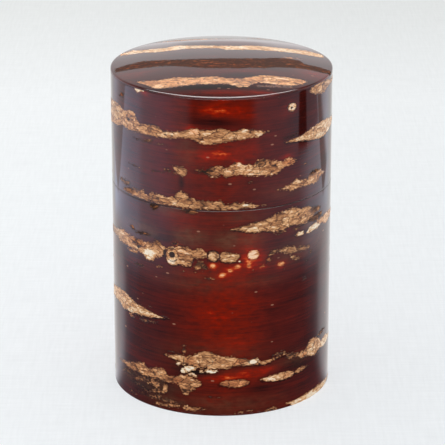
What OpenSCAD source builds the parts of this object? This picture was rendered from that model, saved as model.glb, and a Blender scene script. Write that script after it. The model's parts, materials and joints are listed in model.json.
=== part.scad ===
// Cherry-bark tea caddy: a laminated cylinder cut into a body and a lid, an inner tube whose
// neck guides the lid, and a loose inner lid with a knob that closes the neck.
// Units are millimetres. +Z is up, and the origin is the centre of the base.

/* [Outside] */
// Outer diameter of the caddy
outer_d = 78; // [72:1:90]
// Height of the upper edge of the wall, where the crown starts
rim_z = 117; // [112:1:130]
// Rise of the crown above that edge
crown_rise = 3.9; // [2.5:0.1:5]
// Height of the joint where the lid meets the body
joint_z = 76.5; // [70:0.5:77.5]

/* [Laminate] */
// Thickness of the outer bark
bark_t = 0.7; // [0.5:0.1:0.9]
// Thickness of the rolled veneer in the lid wall
core_t = 1.3; // [1:0.1:1.6]
// Thickness of the inner bark linings
lining_t = 0.5; // [0.4:0.1:0.6]
// Thickness of the rolled veneer in the inner tube
tube_t = 0.8; // [0.6:0.1:1]

/* [Fits] */
// Radial clearance between the neck and the lid lining
neck_gap = 0.08; // [0.05:0.01:0.1]
// Radial clearance between the inner lid's plug and the inner tube
plug_gap = 0.1; // [0.08:0.01:0.15]

/* [Boards] */
// Thickness of the base board
base_t = 3; // [2.5:0.5:4]
// Depth of the crown board inside the lid wall
crown_plug_t = 2.5; // [2:0.5:3]

/* [Inner lid] */
// Depth of the plug inside the neck
plug_depth = 4; // [3:0.5:6]
// Thickness of the wooden flange that lies on the neck
flange_t = 1.5; // [1.2:0.1:2]
// Diameter of the knob's cap
knob_d = 15; // [12:1:18]
// Height of the knob
knob_h = 6; // [5:0.5:7]
// Free space between the knob and the lid's ceiling
headroom = 2.2; // [1.5:0.1:3]

/* [Hidden] */
$fn = 180;

polished_bark = [0.36, 0.10, 0.07];
lining_bark = [0.30, 0.14, 0.09];
veneer = [0.78, 0.62, 0.42];

// Radii, from the outside inwards
outer_r = outer_d / 2;
core_r = outer_r - bark_t;                // where the outer bark meets the veneer core
lid_lining_r = core_r - core_t;           // where the lid's core meets its lining
lid_bore_r = lid_lining_r - lining_t;     // the lid's inside face
neck_r = lid_bore_r - neck_gap;           // the neck's outside face
tube_core_r = neck_r - lining_t;          // where the neck bark meets the inner tube's core
tube_lining_r = tube_core_r - tube_t;     // where that core meets its lining
tube_bore_r = tube_lining_r - lining_t;   // the inside face that holds the tea

// Heights, from the table upwards
board_z = bark_t;                         // underside of the base board
floor_z = board_z + base_t;               // top of the base board
crown_ball_r = (pow(outer_r, 2) + pow(crown_rise, 2)) / (2 * crown_rise);
crown_ball_z = rim_z + crown_rise - crown_ball_r;
seat_z = crown_z(crown_ball_r - bark_t, outer_r) - 0.6;   // top end of the lid's veneer core
ceiling_z = seat_z - crown_plug_t;        // underside of the crown board
knob_z = ceiling_z - lining_t - headroom - knob_h;   // top of the inner lid's bark
flange_z = knob_z - lining_t;             // top of the inner lid's wooden flange
neck_z = flange_z - flange_t;             // rim of the neck, which the flange lies on

// Small details
edge = 0.3;                               // chamfer of the base and of the neck's rim
crown_edge = bark_t * 0.8;                // chamfer of the crown's rim
arris = 0.12;                             // chamfer on either side of the joint
trim = 0.05;                              // chamfer where one bark meets another
band_t = 0.4;                             // bark bands round the inner lid's edges
flange_r = lid_bore_r - 0.4;              // outside of the inner lid, free of the lid lining
plug_r = tube_bore_r - plug_gap;          // outside of the inner lid's plug
knob_waist_r = knob_d * 0.3;
knob_cap_t = knob_h * 0.42;
spigot_r = 2.5;                           // the knob's spigot and the hole it is glued into
spigot_h = 1.2;
spigot_gap = 0.02;

// Height of a ball's surface above a point at radius r
function crown_z(ball_r, r) = crown_ball_z + sqrt(pow(ball_r, 2) - pow(r, 2));

// A plain tube between two radii and two heights
module tube(inner_r, outer_r, z0, z1) {
    translate([0, 0, z0])
        difference() {
            cylinder(r = outer_r, h = z1 - z0);
            translate([0, 0, -1])
                cylinder(r = inner_r, h = z1 - z0 + 2);
        }
}

// A plain disc
module disc(r, z0, z1) {
    translate([0, 0, z0])
        cylinder(r = r, h = z1 - z0);
}

// A tube whose outer corners have chamfers of their own size
module chamfered_tube(inner_r, outer_r, z0, z1, low, high) {
    rotate_extrude()
        polygon([
            [inner_r, z0], [outer_r - low, z0], [outer_r, z0 + low],
            [outer_r, z1 - high], [outer_r - high, z1], [inner_r, z1]
        ]);
}

// Everything inside a ball that gives the crown its curve
module crown_ball(r) {
    translate([0, 0, crown_ball_z])
        sphere(r = r, $fn = 360);
}

// Outer bark, wrapped round the body and cut square at the joint
module body_bark() {
    color(polished_bark)
        chamfered_tube(core_r, outer_r, board_z, joint_z, trim, arris);
}

// Rolled veneer that stiffens the body
module body_core() {
    color(veneer)
        tube(neck_r, core_r, board_z, joint_z);
}

// Wooden disc set into the foot of the body
module base_board() {
    color(veneer)
        disc(neck_r, board_z, floor_z);
}

// Bark under the base, trimmed flush with the wall and softened where it meets the table
module base_bark() {
    color(polished_bark)
        rotate_extrude()
            polygon([
                [0, 0], [outer_r - edge, 0], [outer_r, edge], [outer_r, board_z], [0, board_z]
            ]);
}

// Rolled veneer of the inner tube
module tube_core() {
    color(veneer)
        tube(tube_lining_r, tube_core_r, floor_z, neck_z);
}

// Bark outside the inner tube, which shows on the neck
module tube_bark() {
    color(lining_bark)
        chamfered_tube(tube_core_r, neck_r, floor_z, neck_z, trim, edge);
}

// Bark inside the inner tube, in touch with the tea
module tube_lining() {
    color(lining_bark)
        tube(tube_bore_r, tube_lining_r, floor_z, neck_z);
}

// Bark on the floor of the inner tube
module floor_bark() {
    color(lining_bark)
        disc(tube_bore_r, floor_z, floor_z + lining_t);
}

// Outer bark of the lid, up to the crown's own bark
module lid_bark() {
    color(polished_bark)
        intersection() {
            chamfered_tube(core_r, outer_r, joint_z, rim_z, arris, trim);
            crown_ball(crown_ball_r - bark_t);
        }
}

// Rolled veneer of the lid wall
module lid_core() {
    color(veneer)
        tube(lid_lining_r, core_r, joint_z, seat_z);
}

// Bark inside the lid wall, which slides on the neck
module lid_lining() {
    color(lining_bark)
        tube(lid_bore_r, lid_lining_r, joint_z, ceiling_z);
}

// Turned board that closes the lid: a plug inside the wall and a crown over it
module crown_board() {
    color(veneer)
        intersection() {
            rotate_extrude()
                polygon([
                    [0, ceiling_z], [lid_lining_r, ceiling_z], [lid_lining_r, seat_z],
                    [core_r, seat_z], [core_r, rim_z + crown_rise], [0, rim_z + crown_rise]
                ]);
            crown_ball(crown_ball_r - bark_t);
        }
}

// Bark over the crown, as wide as the caddy and softened at its edge
module crown_bark() {
    color(polished_bark)
        difference() {
            intersection() {
                rotate_extrude()
                    polygon([
                        [0, ceiling_z], [outer_r, ceiling_z], [outer_r, rim_z - crown_edge],
                        [outer_r - crown_edge, crown_z(crown_ball_r, outer_r - crown_edge)],
                        [outer_r - crown_edge, rim_z + crown_rise + 1], [0, rim_z + crown_rise + 1]
                    ]);
                crown_ball(crown_ball_r);
            }
            crown_ball(crown_ball_r - bark_t);
        }
}

// Bark under the crown board, seen when the lid is turned over
module ceiling_bark() {
    color(lining_bark)
        disc(lid_bore_r, ceiling_z - lining_t, ceiling_z);
}

// Turned wooden disc of the inner lid: a flange on the neck, a plug in it, a hole for the knob
module inner_lid_board() {
    color(veneer)
        rotate_extrude()
            polygon([
                [0, neck_z - plug_depth + lining_t], [plug_r - band_t, neck_z - plug_depth + lining_t],
                [plug_r - band_t, neck_z], [flange_r - band_t, neck_z],
                [flange_r - band_t, flange_z], [spigot_r, flange_z],
                [spigot_r, flange_z - spigot_h], [0, flange_z - spigot_h]
            ]);
}

// Bark on top of the inner lid, with a hole for the knob's spigot
module inner_lid_top_bark() {
    color(polished_bark)
        tube(spigot_r, flange_r - band_t, flange_z, knob_z);
}

// Bark band round the edge of the flange
module inner_lid_edge_bark() {
    color(polished_bark)
        chamfered_tube(flange_r - band_t, flange_r, neck_z, knob_z, arris, 0.2);
}

// Bark band round the plug, which rubs in the neck
module inner_lid_plug_bark() {
    color(lining_bark)
        chamfered_tube(plug_r - band_t, plug_r, neck_z - plug_depth, neck_z, edge, trim);
}

// Bark under the inner lid
module inner_lid_under_bark() {
    color(lining_bark)
        disc(plug_r - band_t, neck_z - plug_depth, neck_z - plug_depth + lining_t);
}

// Knob of laminated bark: a cap on a waist, with a spigot glued into the board
module inner_lid_knob() {
    cap_z = knob_z + knob_h - knob_cap_t;
    color(polished_bark)
        union() {
            translate([0, 0, flange_z - spigot_h])
                cylinder(r = spigot_r - spigot_gap, h = spigot_h + lining_t + 1);
            translate([0, 0, knob_z])
                cylinder(r1 = knob_waist_r * 1.2, r2 = knob_waist_r, h = cap_z - knob_z);
            rotate_extrude()
                polygon([
                    [0, cap_z - 0.01], [knob_waist_r, cap_z - 0.01],
                    [knob_d / 2 - 0.6, cap_z + 0.1], [knob_d / 2, cap_z + 0.8],
                    [knob_d / 2, cap_z + knob_cap_t - 0.9],
                    [knob_d / 2 - 0.9, cap_z + knob_cap_t - 0.15],
                    [knob_d / 4, cap_z + knob_cap_t], [0, cap_z + knob_cap_t]
                ]);
        }
}

body_bark();
body_core();
base_board();
base_bark();
tube_core();
tube_bark();
tube_lining();
floor_bark();
lid_bark();
lid_core();
lid_lining();
crown_board();
crown_bark();
ceiling_bark();
inner_lid_board();
inner_lid_top_bark();
inner_lid_edge_bark();
inner_lid_plug_bark();
inner_lid_under_bark();
inner_lid_knob();
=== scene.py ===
"""Looks of the cherry-bark tea caddy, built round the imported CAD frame.

Lengths are millimetres until a mesh is made, but metres for the camera, the floor and the
studio. The bark's figure is laid out on the flat sheet that the bark was before it was
wrapped: u runs round the wall from the front (-Y) towards +X, v is the height. On the crown,
the base and the inner lid the sheet lies flat, so u is X and v is Y.
"""
import json
import math
import random

import bpy
import numpy as np
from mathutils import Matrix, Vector

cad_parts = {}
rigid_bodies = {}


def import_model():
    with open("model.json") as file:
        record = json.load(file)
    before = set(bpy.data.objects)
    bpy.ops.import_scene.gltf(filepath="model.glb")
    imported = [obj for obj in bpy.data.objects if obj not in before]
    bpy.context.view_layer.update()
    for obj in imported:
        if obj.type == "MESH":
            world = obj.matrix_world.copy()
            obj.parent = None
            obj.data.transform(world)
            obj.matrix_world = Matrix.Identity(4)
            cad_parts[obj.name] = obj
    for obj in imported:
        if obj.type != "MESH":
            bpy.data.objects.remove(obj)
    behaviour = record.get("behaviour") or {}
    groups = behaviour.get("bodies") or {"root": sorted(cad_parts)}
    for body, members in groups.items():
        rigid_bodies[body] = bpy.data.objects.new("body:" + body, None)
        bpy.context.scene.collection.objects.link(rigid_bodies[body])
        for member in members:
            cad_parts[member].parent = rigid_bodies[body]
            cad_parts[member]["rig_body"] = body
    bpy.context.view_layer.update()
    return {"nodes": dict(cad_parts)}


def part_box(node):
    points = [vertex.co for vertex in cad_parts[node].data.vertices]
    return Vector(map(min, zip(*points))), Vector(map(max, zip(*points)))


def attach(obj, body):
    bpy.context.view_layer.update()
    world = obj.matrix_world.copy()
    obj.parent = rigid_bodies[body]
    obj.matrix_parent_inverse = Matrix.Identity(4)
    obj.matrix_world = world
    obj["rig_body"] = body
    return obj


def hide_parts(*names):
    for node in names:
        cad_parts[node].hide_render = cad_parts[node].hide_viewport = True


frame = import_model()

MM = 0.001                            # in metres


def ring_mm(node):
    """Outer radius, lowest and highest height of a round CAD node, in mm."""
    low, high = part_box(node)
    return high[0] / MM, low[2] / MM, high[2] / MM


OUTER_R, _, JOINT_Z = ring_mm("body_bark")
TURN = 2 * math.pi * OUTER_R          # once round the wall
CORE_R = ring_mm("body_core")[0]
TOP_Z = ring_mm("crown_bark")[2]
CROWN_RISE = 3.9                      # height of the crown above its rim
RIM_Z = TOP_Z - CROWN_RISE
BARK_T = OUTER_R - CORE_R
LINING_T, BAND_T = 0.5, 0.4           # bark inside the tubes, and round the inner lid
ARRIS = 0.12                          # softening of the two edges at the joint
HOLE_R = 2.5                          # hole for the dowel of the knob
WALL_COLUMNS, WALL_ROW = 400, 0.4     # mesh of the outer wall: columns round it, mm a row
REACH = 4.0                           # mm round a patch in which its outline is worked out
ALL = 100.0                           # mm, a radius that takes in any piece
BALL_R = (OUTER_R ** 2 + CROWN_RISE ** 2) / (2 * CROWN_RISE)     # the crown is a cap of this ball


# ------------------------ figure of the bark

# Cork patches: ((tone, hue, crumble, crack_and_painted_shadow), then u, lower v and upper v at each
# station in turn). Tone runs from 0, dark brown, through 0.5, tan, to 1, cream. Hue runs from -1,
# mauve grey, to 1, orange. Crumble is how far the outline breaks up, and crack_and_painted_shadow
# how
# dark a line runs along it: part crack, part painted shadow, strongest under the patch.
WALL_PATCHES = [
    # lid, the long band under the rim
    ((0.55, 0.1, 0.5, 0.3), -75, 101.5, 103, -66, 99, 105.5, -58, 98, 106.5, -50, 99, 107.8,
     -45, 99.8, 108, -42, 101, 107.2, -40, 100.6, 107, -37, 100.4, 108, -34.5, 100.4, 108,
     -33, 100.5, 106, -31, 100.6, 104.2, -27, 100.7, 104.9, -23, 100.9, 105, -21.5, 101, 104,
     -17, 101.3, 103.8, -14, 102, 104.5, -10.5, 102, 105.8, -9, 101.2, 106, -7, 100.4, 105.7,
     -4, 100.1, 105.5, -0.5, 100.8, 106.5, 2, 101.3, 105.5, 4.5, 101.7, 105.1, 6.5, 101.8, 105.9,
     10, 102.3, 105.6, 13, 102.6, 104.9, 15, 103.5, 104.4, 17, 104, 104.1),
    ((0.3, -0.4, 0.8, 0), -35, 98, 98.2, -33.5, 98, 98.6, -31, 98.2, 98.8, -30, 98.4, 98.6),
    ((0.3, -0.4, 0.8, 0), -30, 98.2, 98.4, -28.5, 98.1, 99.2, -26.5, 98.2, 99.5, -25.5, 98.8, 99.2),
    ((0.35, -0.5, 0.5, 0), -24, 98.6, 98.9, -22, 98.5, 99, -19, 98.9, 99.1),
    # lid, knots at the rim
    ((0.85, 0.1, 0.4, 0), -34, 116.6, 117.2, -33.5, 115.8, 117.2, -32.5, 115.2, 117.2,
     -31.5, 115.2, 117, -30.5, 116, 117.2, -29.5, 115.9, 117.2, -28.5, 116.6, 117.2),
    ((0.25, 0.7, 0.5, 0), -44.5, 110.8, 111.2, -43.5, 110.9, 111.8, -42.5, 111, 112.8,
     -41, 111.2, 112.8, -40.5, 112, 112.6),
    ((0.55, 0, 0.5, 0.2), 34, 114.8, 115.2, 35, 114.4, 115.9, 36.5, 113.8, 116.4, 38, 113, 116.7,
     40, 112.6, 117, 42, 112.2, 117, 44.5, 112, 116.5, 46, 112.6, 116.3, 49, 113, 115.8,
     53, 113, 115, 60, 113.4, 114.8, 67, 114, 114.2),
    # lid, right edge
    ((0.66, 0, 0.35, 0.9), 22.5, 99.2, 99.3, 25, 98.8, 99.6, 28, 98.4, 99.9, 30, 98.1, 100.1,
     33, 97.6, 100.8, 35, 97.2, 101.5, 38, 96.8, 101.9, 41, 96.3, 102.1, 44, 96.2, 102.3,
     47, 96.2, 102, 50, 96.8, 101.4, 53, 97.5, 100.8, 60, 98.2, 100.4, 66, 99, 99.3),
    ((0.22, 0.2, 0.6, 0), 22, 100.4, 100.6, 24, 100.3, 100.8, 28, 101, 101.4, 29, 101.2, 101.3),
    # lid, middle
    ((0.5, 0, 1, 0.2), -17, 90.8, 91.4, -16, 89.6, 92, -15, 88.8, 91.6, -14, 88.2, 92,
     -13, 88.5, 91.6, -12, 89.4, 90.6),
    ((0.32, 0, 1, 0), -20.5, 89.4, 90, -19, 89.2, 90.3, -17, 88.6, 89.5, -16, 88.8, 89),
    ((0.55, 0.2, 0.8, 0.35), -9.3, 91, 91.2, -7.5, 90.2, 91.4, -5, 89.8, 91.6, -4, 88.8, 92.2,
     -2, 88.4, 92.8, 0, 89.6, 92.8, 1.5, 88.6, 92, 4, 89.2, 93.8, 6, 89.6, 94.2, 8, 89, 93,
     10, 88.8, 93, 11, 88.8, 92.4, 12, 88.6, 94, 14.5, 88.5, 94.6, 16.5, 88.2, 94, 18, 88, 93.4,
     20, 88.4, 93, 21, 89, 92.8, 22, 89.8, 92.4, 23, 90.4, 93, 24.5, 90.3, 93.4, 26, 90.4, 93,
     28.4, 91.6, 91.8),
    ((0.34, -0.6, 0.5, 0), -38, 88.2, 88.5, -34, 88, 88.6, -30, 88.1, 88.4),
    ((0.34, -0.6, 0.5, 0), -26, 87.9, 88.5, -24, 88.5, 88.9, -21, 88.6, 88.7),
    ((0.58, 0.1, 0.7, 0.2), 20, 82.3, 82.7, 22.5, 82.1, 83, 24.5, 81.5, 83.4, 26.5, 81, 84,
     28.3, 81.2, 85.4, 30, 81.5, 84, 32, 81.3, 84.1, 34, 81.2, 83.8, 35, 81, 85.3, 37, 80.8, 85.9,
     38.5, 80.8, 86, 40.5, 81.4, 85.6, 42.5, 82.2, 84.9, 44, 82.5, 83.6, 46, 82.8, 82.9),
    # lid, along the joint, and just under it on the body
    ((0.36, -0.4, 0.7, 0), -44.5, 80.2, 81.3, -42, 80, 81.8, -40, 79.6, 81.6, -38, 80, 82,
     -37, 80.4, 81),
    ((0.5, 0.05, 0.9, 0.3), -42, 77.6, 78.2, -40, 77, 79, -37, 77, 79.6, -35, 77, 80.3,
     -32, 77, 80.2, -30, 77, 80.6, -28.7, 77, 79.2, -27.5, 77, 79.4, -26, 77, 80.6, -23, 77, 80.5,
     -20, 77, 80, -18, 77, 80.5, -16.5, 77, 80.8, -15.5, 77, 82.5, -14, 77, 83, -12.5, 77, 82.6,
     -11.5, 77, 81.2, -9, 77, 80.5, -7, 77, 80.2, -4.5, 77, 80.3, -2.5, 77, 80, 0, 77, 80.5,
     1, 77, 79, 3, 77, 78.8, 4.5, 77, 79.8, 6, 77, 79.4, 9, 77, 79.2, 11, 77, 78.6, 12, 77.2, 77.8,
     16, 77.5, 77.7),
    ((0.2, 0.1, 1, 0), -26.5, 75, 76.5, -25, 74, 76.6, -23, 75.4, 76.5),
    ((0.25, 0.2, 1, 0), -14, 75.8, 76.8, -12, 75.2, 76.8, -10, 74.8, 76.8, -8, 76, 76.8),
    # body, the crisp lens on the right and the pale pieces under it
    ((0.56, 0, 0.55, 0.9), 3, 69.7, 69.9, 5, 69.5, 70.5, 7.5, 68.9, 71, 9, 68.3, 71.3,
     12, 68.2, 72.1, 15, 68.2, 72.3, 17, 67.8, 73, 19.5, 67.4, 74, 22, 67.2, 74.2, 24, 67.8, 74.6,
     26, 68.3, 74.9, 28, 68.2, 74.7, 30, 67.6, 73.9, 32, 67.4, 73.6, 34, 67.6, 73.5,
     36, 68.6, 72.8, 38, 69, 72.3, 40, 69.6, 72, 42, 70, 71.5, 43, 70.6, 71),
    ((0.3, -0.3, 1, 0), 18.5, 66.6, 67, 21, 66.3, 67.4, 24, 66.7, 67.1),
    ((0.3, -0.3, 1, 0), 26.5, 66.4, 66.8, 28.5, 66.1, 67.2, 30, 66.6, 67),
    ((0.3, -0.8, 0.8, 0), 34.5, 67.5, 69.5, 38, 66.6, 69.2, 41, 66.6, 69.3, 44, 67.4, 69),
    ((0.9, -0.1, 0.4, 0), 33.5, 63.4, 63.6, 35, 63.3, 65.4, 37, 63.3, 65.8, 38.5, 63.5, 66,
     40, 63.4, 65.8, 41.5, 63.8, 65, 43, 64.2, 64.8),
    ((0.6, 0.25, 0.5, 0), 40, 65.5, 66.5, 43, 64.5, 67, 46, 63.4, 67.2, 49, 63, 67, 52, 63.2, 66.5,
     57, 64, 66, 64, 64.6, 65.2),
    ((0.5, -0.35, 0.9, 0.3), 20, 59.8, 60.6, 23, 58.8, 61, 25, 58.2, 61, 27, 57.8, 60.6,
     28.5, 58.2, 59.6, 29.5, 58.8, 59),
    ((0.45, -0.3, 0.9, 0.3), 25.5, 56.6, 57.4, 27, 55.6, 57.2, 28.5, 54.8, 56.6, 30, 55.2, 55.8,
     30.7, 55.4, 55.5),
    ((0.45, -0.3, 0.9, 0.3), 16.5, 58.6, 59.4, 18.5, 59, 61, 20, 60, 61),
    ((0.45, -0.5, 0.9, 0.3), 30, 58, 60, 33, 57.3, 59.2, 35.5, 57.6, 58.6),
    # body, the big broken patch left of the middle
    ((0.5, -0.3, 0.7, 0), -66, 58, 59, -56, 57, 60, -50, 58, 60.8, -47, 58.2, 61.5, -45, 57.6, 62),
    ((0.52, 0.1, 0.8, 0.4), -46, 57.6, 61, -45, 57.3, 62.3, -42, 56.8, 62.8, -39, 57.4, 62,
     -37, 57.2, 62, -35, 57.3, 61.8, -33, 57, 61.8, -31, 57, 62.4, -30, 56.5, 61.5,
     -29, 55.5, 61.9, -27, 55, 62, -25.5, 55.3, 62.3, -24.5, 56.5, 63.8, -22.5, 57.5, 63.4,
     -21.5, 58, 62, -20.3, 59, 61.6),
    ((0.54, 0.15, 0.6, 0.7), -20, 57.5, 60.5, -19.2, 55.6, 62, -18, 55.3, 62.4, -16.5, 55.3, 62,
     -15.5, 56, 62.6, -14, 55.8, 62.8, -12, 55.5, 63, -10.5, 55.6, 62, -10, 58.6, 61.8,
     -8.5, 59, 62.6, -7, 59.2, 63, -5.5, 59.4, 61.5, -5, 57.8, 60.6),
    ((0.6, 0, 0.35, 0.8), -0.5, 58.5, 61.4, 1, 57.6, 61.6, 3, 57.6, 61.4, 5, 58, 60.9,
     6.3, 59.6, 60.6),
    ((0.28, 0.1, 1.2, 0), -9.5, 54.6, 55.6, -8, 54.8, 58.6, -6.5, 55, 58, -5, 54.9, 55.8,
     -3.7, 55, 55.2),
    ((0.5, 0.2, 0.6, 0.3), -39.5, 56, 56.4, -38, 55.6, 57.1, -35, 55.7, 57.4, -33, 56, 57),
    ((0.25, 0.3, 1, 0), -37.5, 65, 65.5, -36, 64.8, 66.2, -34, 63.6, 64.4, -32, 63.8, 65,
     -28, 64.2, 65.2, -26, 64.6, 64.9),
    ((0.5, 0.5, 0.5, 0), -24.2, 53.4, 53.9, -23, 53.3, 54.4, -21.2, 53.8, 54.1),
    ((0.3, -0.2, 1, 0), -35, 52, 52.3, -32, 51.6, 52.8, -30, 52, 52.3),
    ((0.6, 0, 0.4, 0), -6, 51.8, 52, -4, 51.5, 52.3, -2, 51.8, 52),
    # body, the smooth lens on the left
    ((0.64, 0.05, 0.4, 1), -70, 33.5, 35, -58, 32, 36.5, -54, 33, 37.5, -50, 33.4, 38.6,
     -46, 33.6, 39, -44, 32.6, 39.1, -42, 32.2, 39.2, -40, 32.8, 38.9, -38, 32.4, 38.4,
     -36, 32.8, 37.7, -34, 33.2, 37.2, -32, 33.1, 37.1, -30, 33.4, 36.8, -28, 33.6, 36.4,
     -26, 33.9, 35.9, -24, 34.2, 35.6, -22, 34.7, 35.3, -19, 35.1, 35.2),
    ((0.38, 0.3, 0.8, 0.3), -39, 31.6, 32.6, -37.5, 30.8, 32.5, -36, 30.8, 32, -35, 31.8, 32.2),
    ((0.36, 0.1, 0.8, 0.3), -32.5, 31.5, 32.1, -30, 31.3, 32.5, -27, 31.9, 32.7, -23.5, 32.7, 33),
    # body, lower middle
    ((0.55, 0.12, 0.5, 0.7), -21.5, 21, 21.3, -19, 20.6, 21.6, -17, 20, 22, -15, 19.3, 22.3,
     -13.6, 19, 22, -13.3, 19, 21.2, -12, 19, 22.4, -10, 18.4, 22.8, -8, 18, 24, -6, 17.9, 24.6,
     -4, 17.8, 24.2, -2, 17.9, 23.6, 0, 17.9, 22.9, 2, 18, 22.6, 4, 18.6, 22.5, 6, 19, 22,
     8, 18.8, 22, 9.5, 18.9, 21, 11, 18.8, 21.3, 13, 18.6, 21.4, 14, 18.4, 20, 15.5, 18.2, 19.9,
     17, 18.8, 20.2, 19, 19.4, 20.3, 21, 19.8, 20.3, 23, 20.2, 20.7, 25.5, 20.8, 21),
    ((0.32, -0.2, 0.8, 0), 18.5, 21, 21.6, 20.5, 20.8, 22, 22.5, 21, 22.3, 24.5, 21.2, 21.6),
    ((0.3, 0.3, 0.8, 0), -14.2, 23.4, 24.2, -13.3, 22.6, 25.4, -12.6, 23.6, 24.2),
    ((0.9, -0.1, 0.5, 0), -16.5, 18.2, 18.8, -15.5, 18.3, 19.6, -14, 18.6, 19.2, -12.5, 18.2, 19),
    ((0.92, -0.1, 0.4, 0), -14.6, 15.8, 17, -13.5, 15.5, 17.7, -12.5, 15.6, 18.4, -11.5, 16.4, 18.8,
     -10, 17, 18.6, -9, 17.2, 17.8),
    ((0.8, 0, 0.6, 0), -12, 14.9, 15.6, -10.5, 14.6, 16, -9.5, 14.2, 15.6, -8.5, 14, 14.8),
    ((0.95, -0.1, 0.3, 0), -5.5, 16.2, 17.8, -4, 16.3, 17.6, -2.7, 16.2, 17.4, -1.5, 17, 17.8),
    ((0.5, 0.5, 0.3, 0.6), -1, 11.9, 12.5, 0.5, 11.4, 13.4, 2.5, 10.9, 13.8, 5, 10.7, 14,
     7, 10.9, 13.9, 9, 11.5, 13.4, 10, 12.2, 12.8),
    ((0.68, 0.1, 0.4, 0.9), 13.5, 12.7, 12.9, 15.5, 12, 13.4, 18, 11.6, 13.8, 20, 11.3, 14,
     22, 11.1, 14.2, 24, 11.1, 13.9, 26, 11.2, 13.9, 27.7, 12, 13.3),
    ((0.55, 0.1, 0.5, 0.6), 28.3, 11.8, 13, 30, 11.8, 13.8, 32, 12.2, 13.8, 34, 12.6, 13.4,
     36.5, 12.9, 13.1),
    # body, lower right
    ((0.42, 0, 0.8, 0.2), 24, 19.2, 19.7, 25.5, 18.4, 20.6, 27, 18.2, 20.7, 28.5, 18.4, 20,
     30.3, 17.8, 19.7),
    ((0.62, 0.15, 0.6, 0.3), 30.5, 17.6, 19, 31.5, 17, 20, 33, 16.9, 19.6, 34, 16.8, 20,
     35.5, 16.6, 21.8, 37, 16, 22.6, 39, 15.6, 22.7, 41, 15.9, 22, 43, 16.6, 21, 44.5, 17.2, 19.4),
    ((0.8, -0.1, 0.5, 0), 44, 16.8, 18.6, 47, 16.2, 19.6, 50, 16.4, 20, 52, 16.6, 19, 56, 17, 18,
     62, 17.4, 17.6),
    ((0.3, -0.7, 0.7, 0), 41, 22, 22.6, 45, 21.8, 23.8, 49, 22.6, 23),
    # body, lower left
    ((0.48, 0.2, 0.9, 0.4), -48, 10.8, 11.2, -46, 10.9, 11.8, -43, 11, 12.4, -40, 10.6, 13,
     -37, 10.7, 13.8, -34.5, 10.9, 14.6, -32.5, 10.6, 15.2, -30.5, 10.6, 15.7, -29, 10.6, 14.2,
     -28, 10.9, 14, -26.5, 11, 14.8, -25, 10.8, 15.2, -23, 11.2, 15.9, -21.5, 10.6, 16.2,
     -20.5, 10.7, 14.6, -20, 10.5, 13.4, -19, 10.8, 13.6, -17, 11, 13.6, -15.5, 10.8, 14.4,
     -14, 7.5, 14.9, -12.5, 7, 15, -11, 8.6, 14.6, -9.8, 9.5, 13.8, -8.5, 10.8, 13.4,
     -7, 11.2, 12.6),
    ((0.34, 0.3, 0.9, 0), -36, 7.2, 7.6, -34.5, 7.9, 9.2, -32.5, 8.2, 9.8, -31, 8.4, 9.8,
     -29.5, 8.8, 9.4),
    ((0.45, 0.1, 0.9, 0.2), -27, 9.2, 10.4, -25.5, 7.8, 10.4, -24.5, 7.2, 10, -23.3, 8.8, 10),
    ((0.5, 0.1, 0.8, 0.2), -22.2, 6, 6.6, -21.5, 6, 9.6, -20.3, 6.5, 10, -19.8, 8.4, 9.4),
    ((0.45, 0.1, 0.8, 0), -26.5, 5.6, 6.6, -25, 5.8, 7.2, -24, 6.2, 7),
    ((0.45, 0.1, 0.8, 0), -24.3, 4.2, 5, -23.2, 4, 5.4, -22.4, 4.6, 5),
    ((0.3, -0.1, 1, 0), -22.5, 3.2, 3.8, -20.5, 3, 4.6, -18, 3.4, 4.4, -16.5, 2.8, 3.4),
    ((0.28, 0.2, 1.1, 0), -42, 9.4, 9.8, -38, 9, 9.8, -34, 9.6, 10),
    ((0.5, 0.2, 0.8, 0.2), -26, 1.2, 1.7, -24, 1.2, 2.2, -21, 1.3, 2.3, -18, 1.5, 3, -16, 2, 3.2,
     -14.8, 2.4, 2.8),
    ((0.55, 0.2, 0.8, 0.2), -14, 2, 2.5, -12.5, 1.4, 3, -10, 1.2, 3, -8.5, 1.6, 2.7, -7.6, 2.2, 3,
     -5.5, 2, 2.5),
    # body, along the foot
    ((0.4, 0.1, 0.8, 0), 4.5, 0.6, 0.8, 6.5, 0.8, 1.6, 9, 1.2, 1.8, 11.5, 1.1, 1.6),
    ((0.42, 0.1, 0.8, 0), 15.5, -1, 0.6, 17, -1, 1.4, 19, -1, 1.7, 20.5, 0.2, 1.2),
    ((0.72, 0, 0.5, 0.3), 24.5, 1.4, 1.8, 26, 1, 2, 28, -1, 1.8, 30, -1, 1.9, 33, -1, 2.4,
     36, -1, 2.6, 40, -1, 2.8, 44, -1, 2.7, 48, -1, 2.4, 52, 0.5, 2, 60, 0.9, 1.6, 68, 1.2, 1.3),
]
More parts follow.
